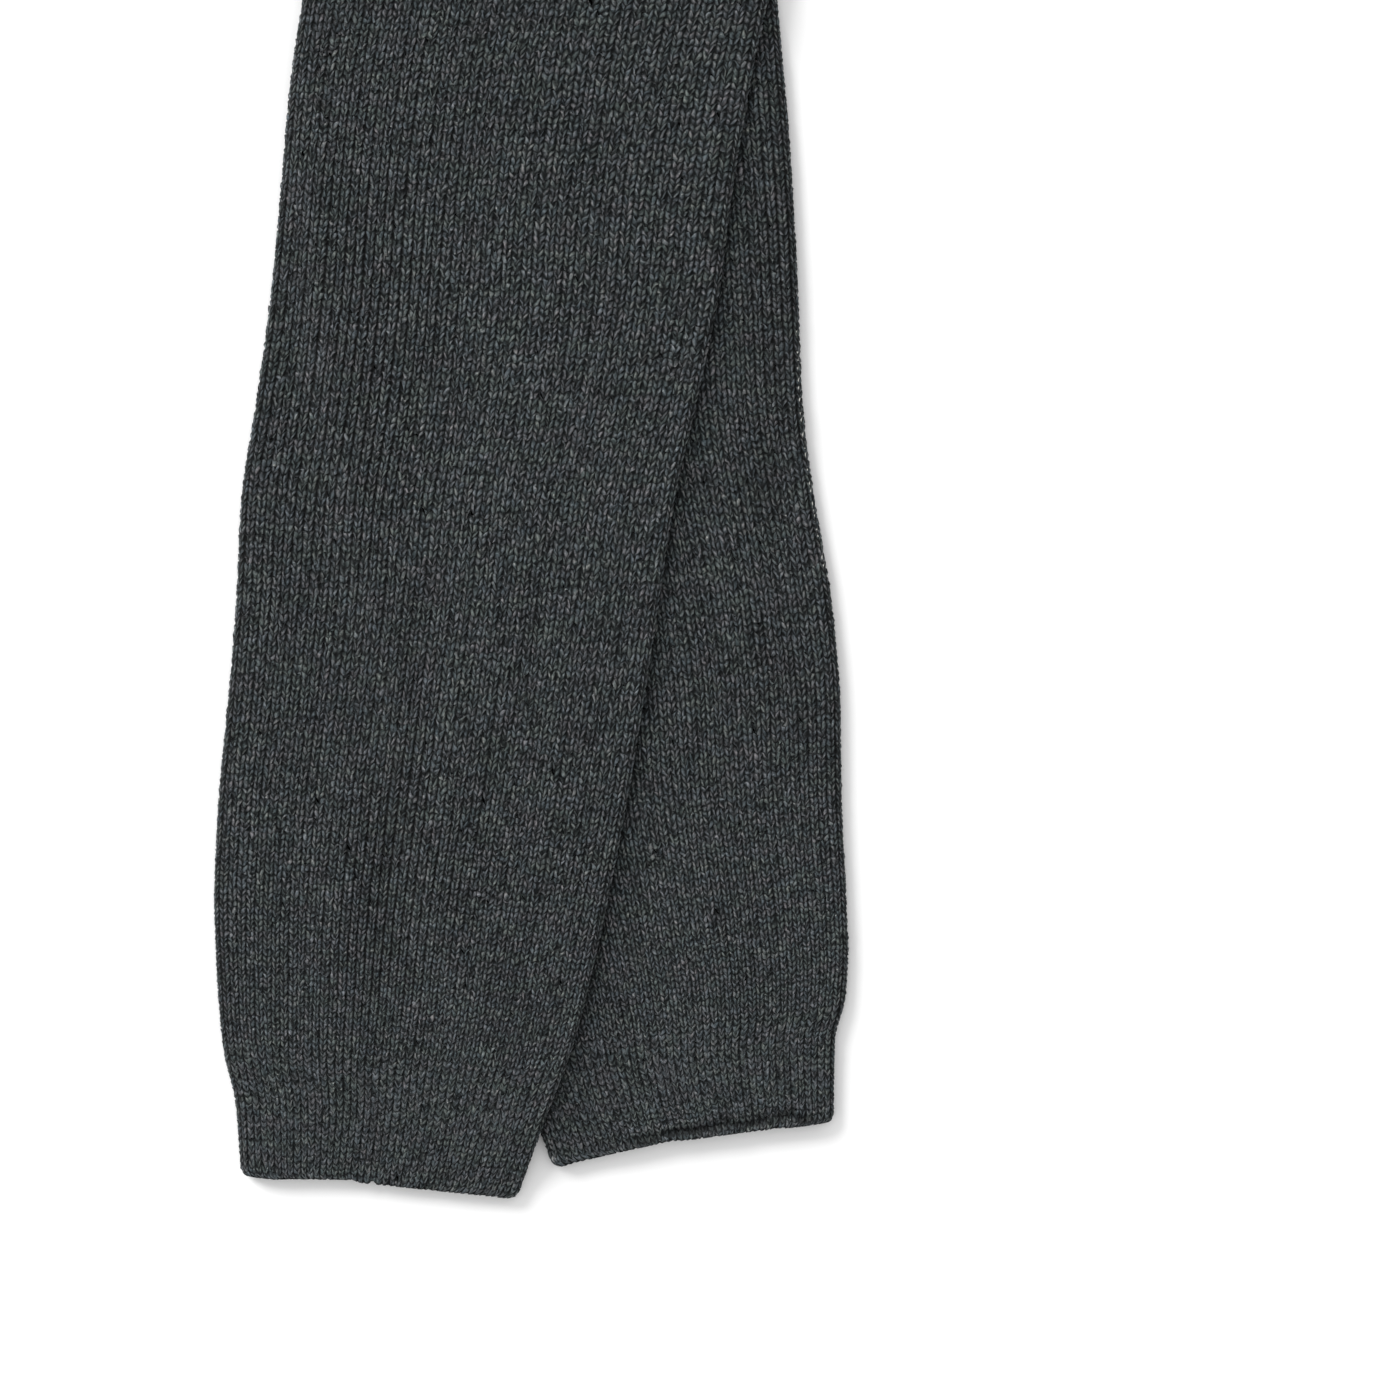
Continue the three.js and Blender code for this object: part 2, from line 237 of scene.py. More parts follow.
def rest_height(half, x, y):
    """Height of a half's underside above the table."""
    if half == "right":
        return np.zeros_like(x)
    hidden = OUTLINES["right"]["left"](y)
    climbed = smooth(hidden - CLIMB_START, hidden - CLIMB_END, x)
    return HALF * climbed * smooth(HEM_DOWN_Y, NOTCH_Y, y)


def soft_places(table, half, x, y):
    """What a table's soft oval places on one half add up to, each full at its middle."""
    total = np.zeros_like(x)
    for side, middle_x, middle_y, length, width, amount, lean in table:
        if side != half:
            continue
        turn = math.radians(lean)
        along = (y - middle_y) * math.cos(turn) + (x - middle_x) * math.sin(turn)
        across = (x - middle_x) * math.cos(turn) - (y - middle_y) * math.sin(turn)
        reach = np.hypot(along / (length / 2), across / (width / 2))
        total += amount * (1 - smooth(0, 1, reach))
    return total


def swell(half, x, y):
    """How far the upper face swells; the right leg only beside the left one, never under it."""
    total = soft_places(SWELLS, half, x, y)
    if half == "right":
        total *= smooth(2, 12, x - OUTLINES["left"]["right"](y))
    return total


def crease(half, x, height):
    """The crease above the right hem's roll, about 1 at its bottom, at a height over the hem."""
    if half == "left":
        return np.zeros_like(x)
    off = (height - ROLL_LINE(x)) / (CREASE["width"] / 2)
    return CREASE_SHARE(x) * np.exp(-(off**2))


def roll(half, x, height):
    """How far the right hem's roll stands up at a height over the hem, in uneven lumps."""
    if half == "left":
        return np.zeros_like(x)
    share = smooth(ROLL["start"], ROLL["full"], x) * (1 - smooth(ROLL["fade"], ROLL["end"], x))
    share *= 1 + ROLL_LUMPS * drift(x, height, 97, 9, 20)
    turn = np.clip((height + ROLL_FOOT) / (ROLL_LINE(x) + ROLL_FOOT), 0, 1) * math.pi
    return ROLL["height"] * share * np.sin(turn) - CREASE["depth"] * crease(half, x, height)


def row_across(half, y):
    """The two ends of a row, which leans with the leg: level at the crotch, slanted at the hem."""
    cuff = CUFFS[half]
    lean = cuff["fall"] * np.clip((CROTCH_Y - y) / (CROTCH_Y - cuff["hem"]), 0, 1)
    left, right = OUTLINES[half]["left"], OUTLINES[half]["right"]
    reach = lean * (right(y) - left(y)) / 2
    return left(y + reach), y + reach, right(y - reach), y - reach


def course_levels(half):
    """Heights of the courses from the hem to above the waist."""
    levels = [CUFFS[half]["hem"]]
    where, height = zip(*COURSE_HEIGHTS)
    while levels[-1] < WAIST_Y + 5:
        levels.append(levels[-1] + float(np.interp(levels[-1], where, height)))
    return np.array(levels)


LEVELS = {half: course_levels(half) for half in CUFFS}


def course_at(half, y):
    """The course at a height, as counted up from the hem."""
    return float(np.interp(y, LEVELS[half], np.arange(len(LEVELS[half]))))


def levels_y(half, v):
    """The height of a course."""
    return np.interp(v, np.arange(len(LEVELS[half])), LEVELS[half])


CUFF_COURSES = {half: round(course_at(half, CUFFS[half]["top"])) for half in CUFFS}


def face_points(half, up, part, u, v, depth=0.0):
    """Points and outward directions on one face of a half, `depth` inside its outer face.

    u counts stitches across and v courses up from the hem. `part` is front, back or cuff.
    """
    y = levels_y(half, v)
    start_x, start_y, end_x, end_y = row_across(half, y)
    left_radius = np.full_like(y, TUBE / 2)
    right_radius = left_radius.copy()
    if part == "front":
        # Above the crotch the front panels go round the whole fold at the centre.
        right_radius += smooth(CROTCH_Y + 4, CROTCH_Y + 12, y) * (CENTRE_Z - TUBE / 2)
    if part == "back":
        # The back panels end inside that fold.
        tuck = smooth(CROTCH_Y - 6, CROTCH_Y + 2, y)
        right_radius -= tuck * BACK_TIGHTER
        end_x = end_x - tuck * BACK_SHORTER
    if part == "cuff":
        height = y - CUFFS[half]["hem"]
        short = np.clip(HEM_CORNER - height, 0, HEM_CORNER)
        inset = CORNER_INSET * (HEM_CORNER - np.sqrt(HEM_CORNER**2 - short**2))
        start_x, end_x = start_x + inset, end_x - inset
    start_x, end_x = start_x + depth, end_x - depth
    left_radius, right_radius = left_radius - depth, right_radius - depth
    left_arc, right_arc = left_radius * math.pi / 2, right_radius * math.pi / 2
    flat = end_x - start_x - left_radius - right_radius
    along = u / WALES * (left_arc + flat + right_arc)
    from_left = np.clip(along / left_radius, 0, math.pi / 2)
    from_right = np.clip((left_arc + flat + right_arc - along) / right_radius, 0, math.pi / 2)
    x = start_x + left_radius * (1 - np.cos(from_left)) + np.clip(along - left_arc, 0, flat)
    x += right_radius * np.cos(from_right)
    y_at = start_y + (end_y - start_y) * (x - start_x) / (end_x - start_x)
    if part == "cuff":
        y_at += HEM_LINES[half](x) * (1 - smooth(0, HEM_BOW_HEIGHT, y - CUFFS[half]["hem"]))
    drop = left_radius * (1 - np.sin(from_left)) + right_radius * (1 - np.sin(from_right))
    level = np.sin(from_left) * np.sin(from_right)
    bottom = rest_height(half, x, y_at)
    if up:
        raised = swell(half, x, y_at)
        if part == "cuff" and depth == 0:
            raised = raised + roll(half, x, y - CUFFS[half]["hem"])
        z = bottom + TUBE - depth - drop + raised * level
    else:
        z = bottom + depth + drop
    sideways = np.cos(from_right) - np.cos(from_left)
    upright = np.where(up, 1, -1) * level
    return np.stack([x, y_at, z], -1), np.stack([sideways, np.zeros_like(x), upright], -1)


# ---------------------------------------------------------------- the stitches


def drift(u, v, seed, wide, long):
    """A slow wandering between about -1 and 1 over the knit, the same each time for one seed.

    Its waves are about `wide` stitches across and `long` courses along.
    """
    rng = np.random.default_rng(seed)
    total = np.zeros_like(u)
    for _ in range(12):
        turn, phase = rng.uniform(0, 2 * math.pi, 2)
        wave = rng.uniform(0.6, 1.5) * 2 * math.pi
        total += np.sin((u * math.cos(turn) / wide + v * math.sin(turn) / long) * wave + phase)
    return total / 5


# Three finenesses of the mesh: how many courses its rows repeat over, how high the crowns stand in
# stitch widths and how unevenly, how light the face's colour is, with painted shade on the coarser
# faces for the small shadows their flatter relief lacks, and for each row its place in the course,
# the height of the crowns there, and how far they lean to the stitch's middle.
FINE_ROWS = ((0.0, 0.15, 0.0), (0.34, 1.0, 0.03), (0.67, 0.85, -0.03))
FINE = {"every": 1, "relief": 0.19, "uneven": 0.2, "light": 1.0, "rows": FINE_ROWS}
MIDDLING = {"every": 1, "relief": 0.17, "uneven": 0.4, "light": 0.96, "rows": ((0.5, 1.0, 0.0),)}
COARSE = {"every": 2, "relief": 0.16, "uneven": 0.6, "light": 0.93, "rows": ((1.0, 0.9, 0.0),)}
VALLEY = 0.15  # height of the dip down a stitch's middle, between its two legs
EDGE_CROWN = 1.1  # height of the crowns along the folds, which make the outline uneven
SUNK = 0.75  # share of the crowns' height that lies inside the solid's face


def stitch_grid(first, last, fineness, edge_crown):
    """u, v and crown height at each point of a knitted face, from course to course."""
    courses = range(first, last, fineness["every"])
    v = [(course + row[0], row[1], row[2]) for course in courses for row in fineness["rows"]]
    v = [row for row in v if first < row[0] < last]
    v = np.array([(float(first), 0.5, 0.0)] + v + [(float(last), 0.5, 0.0)])
    u = np.arange(WALES * 4 + 1) / 4
    kind = np.arange(WALES * 4 + 1) % 4
    grid_u, grid_v = np.meshgrid(u, v[:, 0])
    profile = np.select([kind % 2 == 1, kind == 2], [1.0, VALLEY], 0.0)
    profile[[0, -1]] = edge_crown
    crown = profile * v[:, 1:2]
    lean = np.select([kind == 1, kind == 3], [1.0, -1.0], 0.0) * v[:, 2:3]
    return grid_u + lean, grid_v, crown


def strayed(half, part, u, v, first, last, seed, rng):
    """Where the points of an even knit really lie: with the V of each stitch, and uneven."""
    wander = STRAY_ACROSS["slow"] * drift(u, v, seed + 1, 9, 60)
    wander += STRAY_ACROSS["quicker"] * drift(u, v, seed + 2, 2.6, 45)
    wander += STRAY_ACROSS["each"] * rng.standard_normal(u.shape)
    if half == "left":
        high = smooth(-70, 30, levels_y(half, v))
        wander -= STRAIGHTER * np.sin(u / WALES * math.pi) * high
    slip = STRAY_ALONG["slow"] * drift(u, v, seed + 3, 7, 12)
    slip += STRAY_ALONG["each"] * rng.standard_normal(u.shape)
    zigzag = CHEVRON * (np.abs(2 * (u % 1) - 1) - 0.5)
    # Both calm down towards the piece's ends and edges, where it meets its neighbours.
    inside = smooth(0, 2.5, u) * smooth(0, 2.5, WALES - u)
    before_last = smooth(0, 1.5, last - v)
    after_first = smooth(0, 1.5, v - first)
    if part == "cuff":
        at_hem = v < 0.1
        slip = np.where(at_hem, 0.6 * slip, slip)
        return u + wander * inside, v + zigzag * (0.4 + 0.6 * after_first) + slip * before_last
    if last > course_at(half, WAIST_Y - 40):
        zigzag *= before_last
    return u + wander * inside, v + zigzag + slip * (before_last * after_first)


def knitted_face(half, up, part, first, last, fineness, seed):
    """Points of a knitted face and its stitch coordinates, as grids [row][column]."""
    rng = np.random.default_rng(seed)
    u, v, crown = stitch_grid(first, last, fineness, EDGE_CROWN if up else 0.0)
    at_u, at_v = strayed(half, part, u, v, first, last, seed, rng)
    points, outward = face_points(half, up, part, at_u, at_v)
    stitch_width = np.linalg.norm(points[:, 4:] - points[:, :-4], axis=-1)
    stitch_width = np.concatenate([stitch_width[:, :2], stitch_width, stitch_width[:, -2:]], 1)
    uneven = 1 + 0.1 * drift(u, v, seed + 4, 8, 60)
    uneven += fineness["uneven"] * rng.standard_normal(u.shape)
    uneven = np.clip(uneven, 0.3, 1.7)
    height = fineness["relief"] * stitch_width * (crown * uneven - SUNK)
    if not up:
        height = np.minimum(height - (1 - SUNK) * fineness["relief"] * stitch_width, 0)
    height -= SEAM_DEPTH * seam_line(half, u)
    x, y = points[..., 0], points[..., 1]
    shade = stitch_shade(half, up, part, u, v, x, y, fineness["light"], rng)
    return points + outward * height[..., None], np.stack([u, v, shade], -1)


def seam_line(half, u):
    """1 along a leg's side seam, and 0 beside it."""
    return np.clip(1 - np.abs(u - SEAM_PLACE[half]) / SEAM_REACH, 0, 1)


def stitch_shade(half, up, part, u, v, x, y, light, rng):
    """How light each point of a knitted face's colour is, beside what its yarn gives, painted shade
    and light included.
    """
    seam_dark = SEAM_DARK[half]
    if half == "left":
        seam_dark = seam_dark + SEAM_DARKER * smooth(-50, -110, y)
    shade = light * (1 - seam_dark * seam_line(half, u))
    at_fold = 1 - smooth(*FOLD_REACH, np.minimum(u, WALES - u))
    # Painted shade in the gaps between courses along the folds.
    gap_painted_shade = FOLD_GAP_PAINTED_SHADE * at_fold * (v % 1 == 0)
    shade *= 1 - gap_painted_shade + FOLD_UNEVEN * at_fold * rng.standard_normal(u.shape)
    shade = np.clip(shade, 0.1, 1.25)
    # Painted shade in the gaps between open columns.
    column = np.select([u % 1 == 0, u % 1 == 0.5], [OPEN_GAP_PAINTED_SHADE, OPEN_MIDDLE], OPEN_REST)
    shade *= 1 + column * soft_places(OPEN_COLUMNS, half, x, y)
    if not up:
        return shade
    shade = np.minimum(shade * top_shade(half, x, y), PALE_FROM) + flecks(half, x, y)
    if part == "cuff":
        above_hem = levels_y(half, v) - CUFFS[half]["hem"]
        # Painted shade in the crease above the right hem's roll, and at the hem's rounded edge.
        in_crease = np.minimum(crease(half, x, above_hem), CREASE["darkest"])
        shade *= 1 - CREASE["dark"] * in_crease
        shade *= 1 - 0.2 * (1 - smooth(0, 1.2, above_hem))
    elif half == "right":
        # Painted light between the loose outermost stitches.
        outermost = (u == WALES - 0.5) & (v % 1 == 0) & (y < LOOSE_HIGH) & (y > LOOSE_LOW)
        shade[outermost & (rng.random(u.shape) < LOOSE_SHARE)] = SEEN_THROUGH_PAINTED_LIGHT
    return shade


def top_shade(half, x, y):
    """How light the upper faces' colour is: their soft tones, painted shade and light among them,
    and the painted shade and light beside the overlap.
    """
    shade = 1 + soft_places(TONES_AND_PAINTED_SHADE_AND_LIGHT, half, x, y)
    beside = x - OUTLINES["left"]["right"](np.clip(y, LOWEST_Y, CROTCH_Y))
    if half == "right":
        # Painted shade on the right leg beside the overlap's edge, and painted light a little
        # farther off.
        shade *= 1 - OVERLAP_PAINTED_SHADE * (1 - smooth(0, 1.5, np.abs(beside)))
        farther = smooth(0.8, 2.2, beside) * (1 - smooth(2.5, 8, beside))
        return shade * (1 + OVERLAP_PAINTED_LIGHT * farther)
    # Painted light on the left leg's rounded edge, just before the overlap.
    edge = smooth(-3.2, -1.6, beside) * (1 - smooth(-0.9, 0, beside)) * (y < CROTCH_Y)
    return shade * (1 + OVERLAP_PAINTED_LIGHT * edge)


def flecks(half, x, y):
    """How much the pale flecks add to the shade."""
    total = np.zeros_like(x)
    for side, fleck_x, fleck_y, strength in FLECKS:
        if side == half:
            off_x, off_y = (x - fleck_x) / FLECK_WIDTH, (y - fleck_y) / FLECK_LENGTH
            total += strength * np.exp(-(off_x**2) - off_y**2)
    return total


# ---------------------------------------------------------------- meshes


def grid_faces(index):
    """Quads over a grid of point numbers [row][column]."""
    a, b, c, d = index[:-1, :-1], index[:-1, 1:], index[1:, 1:], index[1:, :-1]
    return np.stack([a, b, c, d], -1).reshape(-1, 4)


def zip_edges(fine, coarse, fine_at=None, coarse_at=None):
    """Triangles between two edges with different numbers of points, even or at rising places."""
    fine_at = np.linspace(0, 1, len(fine)) if fine_at is None else fine_at
    coarse_at = np.linspace(0, 1, len(coarse)) if coarse_at is None else coarse_at
    i = j = 0
    faces = []
    while i < len(fine) - 1 or j < len(coarse) - 1:
        if j == len(coarse) - 1 or (i < len(fine) - 1 and fine_at[i + 1] <= coarse_at[j + 1]):
            faces.append((fine[i], fine[i + 1], coarse[j]))
            i += 1
        else:
            faces.append((fine[i], coarse[j + 1], coarse[j]))
            j += 1
    return faces


def make_piece(name, points, quads, triangles, stitch, layout, material):
    """A piece from its points and faces, its stitch places with their shade, and its layout."""
    mesh = bpy.data.meshes.new(name)
    quads, triangles = np.asarray(quads, np.int32), np.asarray(triangles, np.int32).reshape(-1, 3)
    corners = np.concatenate([quads.ravel(), triangles.ravel()])
    sizes = np.concatenate([np.full(len(quads), 4), np.full(len(triangles), 3)])
    mesh.vertices.add(len(points))
    mesh.vertices.foreach_set("co", (np.asarray(points) * MM).astype(np.float32).ravel())
    mesh.loops.add(len(corners))
    mesh.loops.foreach_set("vertex_index", corners)
    mesh.polygons.add(len(sizes))
    mesh.polygons.foreach_set("loop_start", np.concatenate([[0], np.cumsum(sizes)[:-1]]))
    mesh.polygons.foreach_set("loop_total", sizes)
    mesh.polygons.foreach_set("use_smooth", np.ones(len(sizes), bool))
    for map_name, values in (("OFBake", layout), ("Stitch", stitch[:, :2])):
        uv = mesh.uv_layers.new(name=map_name)
        uv.data.foreach_set("uv", np.asarray(values, np.float32)[corners].ravel())
    # The "shade" attribute scales the knit's colour; painted shade and light are part of it.
    depth = mesh.attributes.new("shade", "FLOAT", "POINT")
    depth.data.foreach_set("value", stitch[:, 2].astype(np.float32))
    mesh.update(calc_edges=True)
    mesh.validate()
    mesh.materials.append(material)
    piece = bpy.data.objects.new(name, mesh)
    bpy.context.collection.objects.link(piece)
    return piece


HIP_COURSES = 16  # above the crotch, before the mesh is at its coarsest
LINING_DEPTH = WALL - 0.1  # from a piece's outside to its plain inside
LINING_COLUMNS = 14
PANEL_LINING_ROWS = 48
CUFF_LINING_ROWS = 8
HEM_TURN = 0.8  # courses by which a cuff's inside starts above the hem
# The bake layout is the unit square: the outside has this share of its width, the inside the rest.
OUTSIDE_SHARE = 0.94
LAYOUT_MARGIN = 0.005


def bake_layout(stitch, lining_u, lining_v, first, last, across):
    """Places in the unit square: the outside over most of it, the inside in a strip beside it."""
    height = 1 - 2 * LAYOUT_MARGIN
    outside_width = OUTSIDE_SHARE - 2 * LAYOUT_MARGIN
    inside_width = 1 - OUTSIDE_SHARE - 2 * LAYOUT_MARGIN
    outside = np.stack([
        LAYOUT_MARGIN + outside_width * stitch[..., 0] / across,
        LAYOUT_MARGIN + height * (stitch[..., 1] - first) / (last - first),
    ], -1)
    inside = np.stack([
        OUTSIDE_SHARE + LAYOUT_MARGIN + inside_width * lining_u / across,
        LAYOUT_MARGIN + height * (lining_v - first) / (last - first),
    ], -1)
    return np.concatenate([outside.reshape(-1, 2), inside.reshape(-1, 2)])


def layered_piece(name, points, stitch, lining, lining_u, lining_v, quads, rims, layout, material):
    """A piece with two faces: its outside's points come first, then its inside's."""
    lining_stitch = np.stack([lining_u, lining_v, np.ones_like(lining_u)], -1)
    both = np.concatenate([points.reshape(-1, 3), lining.reshape(-1, 3)])
    both_stitch = np.concatenate([stitch.reshape(-1, 3), lining_stitch.reshape(-1, 3)])
    return make_piece(name, both, quads, rims, both_stitch, layout, material)


def panel_piece(name, half, up, part, fineness, seed, material):
    """A panel: a knitted outside, a plain inside, and the rims that close it."""
    first, crotch = CUFF_COURSES[half], round(course_at(half, CROTCH_Y))
    last = round(course_at(half, BODY_TOP_Y))
    leg, leg_map = knitted_face(half, up, part, first, crotch, fineness, seed)
    hip, hip_map = knitted_face(half, up, part, crotch, crotch + HIP_COURSES, MIDDLING, seed)
    body, body_map = knitted_face(half, up, part, crotch + HIP_COURSES, last, COARSE, seed)
    points = np.concatenate([leg[:-1], hip[:-1], body])
    stitch = np.concatenate([leg_map[:-1], hip_map[:-1], body_map])
    rows, columns = points.shape[:2]
    outside = np.arange(rows * columns).reshape(rows, columns)
    lining_rows = np.linspace(first, last, PANEL_LINING_ROWS)
    lining_u, lining_v = np.meshgrid(np.linspace(0, WALES, LINING_COLUMNS), lining_rows)
    lining, _ = face_points(half, up, part, lining_u, lining_v, LINING_DEPTH)
    inside = rows * columns + np.arange(lining_u.size).reshape(lining_u.shape)
    rims = zip_edges(outside[0, ::-1], inside[0, ::-1]) + zip_edges(outside[-1], inside[-1])
    levels = stitch[:, 0, 1]
    rims += zip_edges(outside[:, 0], inside[:, 0], levels, lining_rows)
    rims += zip_edges(outside[::-1, -1], inside[::-1, -1], -levels[::-1], -lining_rows[::-1])
    quads = np.concatenate([grid_faces(outside), grid_faces(inside)[:, ::-1]])
    if not up:
        quads, rims = quads[:, ::-1], [face[::-1] for face in rims]
    layout = bake_layout(stitch, lining_u, lining_v, first, last, WALES)
    return layered_piece(
        name, points, stitch, lining, lining_u, lining_v, quads, rims, layout, material
    )


def ring_piece(name, points, stitch, lining, lining_u, lining_v, courses, across, material):
    """A closed ring from its knitted outside and its plain inside."""
    rows, columns = points.shape[:2]
    outside = np.arange(rows * columns).reshape(rows, columns)
    inside = rows * columns + np.arange(lining_u.size).reshape(lining_u.shape)
    outside, inside = (np.concatenate([grid, grid[:, :1]], 1) for grid in (outside, inside))
    rims = zip_edges(outside[0, ::-1], inside[0, ::-1]) + zip_edges(outside[-1], inside[-1])
    quads = np.concatenate([grid_faces(outside), grid_faces(inside)[:, ::-1]])
    layout = bake_layout(stitch, lining_u, lining_v, 0, courses, across)
    return layered_piece(
        name, points, stitch, lining, lining_u, lining_v, quads, rims, layout, material
    )


def cuff_piece(name, half, seed, material):
    """A cuff: knitted all round, plain inside, closed at the seam and at the hem."""
    last = CUFF_COURSES[half]
    over, over_map = knitted_face(half, True, "cuff", 0, last, FINE, seed)
    under, under_map = knitted_face(half, False, "cuff", 0, last, FINE, seed + 50)
    points = np.concatenate([over[:, :-1], under[:, :0:-1]], 1)
    under_map = under_map[:, :0:-1] * [-1, 1, 1] + [2 * WALES, 0, 0]
    stitch = np.concatenate([over_map[:, :-1], under_map], 1)
    lining_u, lining_v = np.meshgrid(
        np.linspace(0, WALES, LINING_COLUMNS), np.linspace(HEM_TURN, last, CUFF_LINING_ROWS)
    )
    top, _ = face_points(half, True, "cuff", lining_u, lining_v, LINING_DEPTH)
    bottom, _ = face_points(half, False, "cuff", lining_u, lining_v, LINING_DEPTH)
    lining = np.concatenate([top[:, :-1], bottom[:, :0:-1]], 1)
    round_u = np.concatenate([lining_u[:, :-1], 2 * WALES - lining_u[:, :0:-1]], 1)
    round_v = np.concatenate([lining_v[:, :-1], lining_v[:, :0:-1]], 1)
    return ring_piece(name, points, stitch, lining, round_u, round_v, last, 2 * WALES, material)


FOLD_STEPS = 13
BAND_SEAM_Y = BODY_TOP_Y + GAP
BAND_COURSES = 17
BAND_STITCHES = 4 * WALES
BAND_RELIEF = 0.55  # height of the rib's crowns
BAND_LINING = (4, 80)  # rows and columns


def waist_path(y):
    """Middle line of the waistband's ring, folded in half with the body, and its outward side."""
    left = OUTLINES["left"]["left"](y) + TUBE / 2
    right = OUTLINES["left"]["right"](y) - CENTRE_Z
    folds = (
        (right, CENTRE_Z, CENTRE_Z - WALL / 2, -90, 90, 1),
        (left, HALF + TUBE / 2, LAYER / 2, 90, 270, 1),
        (right, CENTRE_Z, LAYER / 2, 90, -90, -1),
        (left, TUBE / 2, LAYER / 2, 90, 270, 1),
    )
    line, outward = [], []
    for x, z, radius, start, end, side in folds:
        for angle in np.radians(np.linspace(start, end, FOLD_STEPS)):
            line.append((x + radius * math.cos(angle), z + radius * math.sin(angle)))
            outward.append((side * math.cos(angle), side * math.sin(angle)))
    return np.array(line[::-1] + line[-1:]), np.array(outward[::-1] + outward[-1:])


def waist_rows(y_rows, columns, height):
    """Rows of points round the waistband, `height` outside its middle line and above the table."""
    rows = []
    for row, y in enumerate(y_rows):
        line, outward = waist_path(y)
        length = np.append(0, np.cumsum(np.linalg.norm(np.diff(line, axis=0), axis=1)))
        where = np.arange(columns) / columns * length[-1]
        x, z = (np.interp(where, length, line[:, axis]) for axis in (0, 1))
        side_x, side_z = (np.interp(where, length, outward[:, axis]) for axis in (0, 1))
        out = np.broadcast_to(height, (len(y_rows), columns))[row]
        height_z = np.maximum(z + side_z * out, 0)
        rows.append(np.stack([x + side_x * out, np.full(columns, y), height_z], -1))
    return np.array(rows)


def waistband_piece(name, material):
    """The waistband: a ring in one-and-one rib, plain inside, closed at both edges."""
    rng = np.random.default_rng(5)
    rows, columns = BAND_COURSES * 2 + 1, BAND_STITCHES * 4
    u, v = np.meshgrid(np.arange(columns) / 4, np.linspace(0, BAND_COURSES, rows))
    rib = np.where(u % 2 < 1, 1.0, 0.1)
    crown = np.select([u % 0.5 == 0.25, u % 1 == 0.5], [1.0, 0.5], 0.0) * rib
    crown *= np.where(v % 1 == 0.5, 1.0, 0.6) * (1 + 0.12 * rng.standard_normal(u.shape))
    outside = WALL / 2 + BAND_RELIEF * (crown - 0.95)
    points = waist_rows(np.linspace(BAND_SEAM_Y, WAIST_Y, rows), columns, outside)
    # The purl columns are darker in colour: painted shade in the rib's recesses.
    stitch = np.stack([u, v, 0.55 + 0.5 * rib], -1)
    rows, columns = BAND_LINING
    lining_u = np.arange(columns) / columns * BAND_STITCHES
    lining_u, lining_v = np.meshgrid(lining_u, np.linspace(0, BAND_COURSES, rows))
    inside = WALL / 2 - LINING_DEPTH
    lining = waist_rows(np.linspace(BAND_SEAM_Y, WAIST_Y, rows), columns, inside)
    return ring_piece(
        name, points, stitch, lining, lining_u, lining_v, BAND_COURSES, BAND_STITCHES, material
    )


# ---------------------------------------------------------------- materials


class Number:
    """A number from a shader node, so that sums on it add Math nodes."""

    def __init__(self, shader, socket):
        self.shader = shader
        self.socket = socket

    def calc(self, operation, *others):
        return self.shader.node("ShaderNodeMath", {"operation": operation}, (self, *others))

    def __add__(self, other):
        return self.calc("ADD", other)

    def __sub__(self, other):
        return self.calc("SUBTRACT", other)

    def __mul__(self, other):
        return self.calc("MULTIPLY", other)

    def __rsub__(self, other):
        return self.shader.node("ShaderNodeMath", {"operation": "SUBTRACT"}, (other, self))

    __radd__ = __add__
    __rmul__ = __mul__

    def fract(self):
        return self.calc("FRACT")

    def floor(self):
        return self.calc("FLOOR")


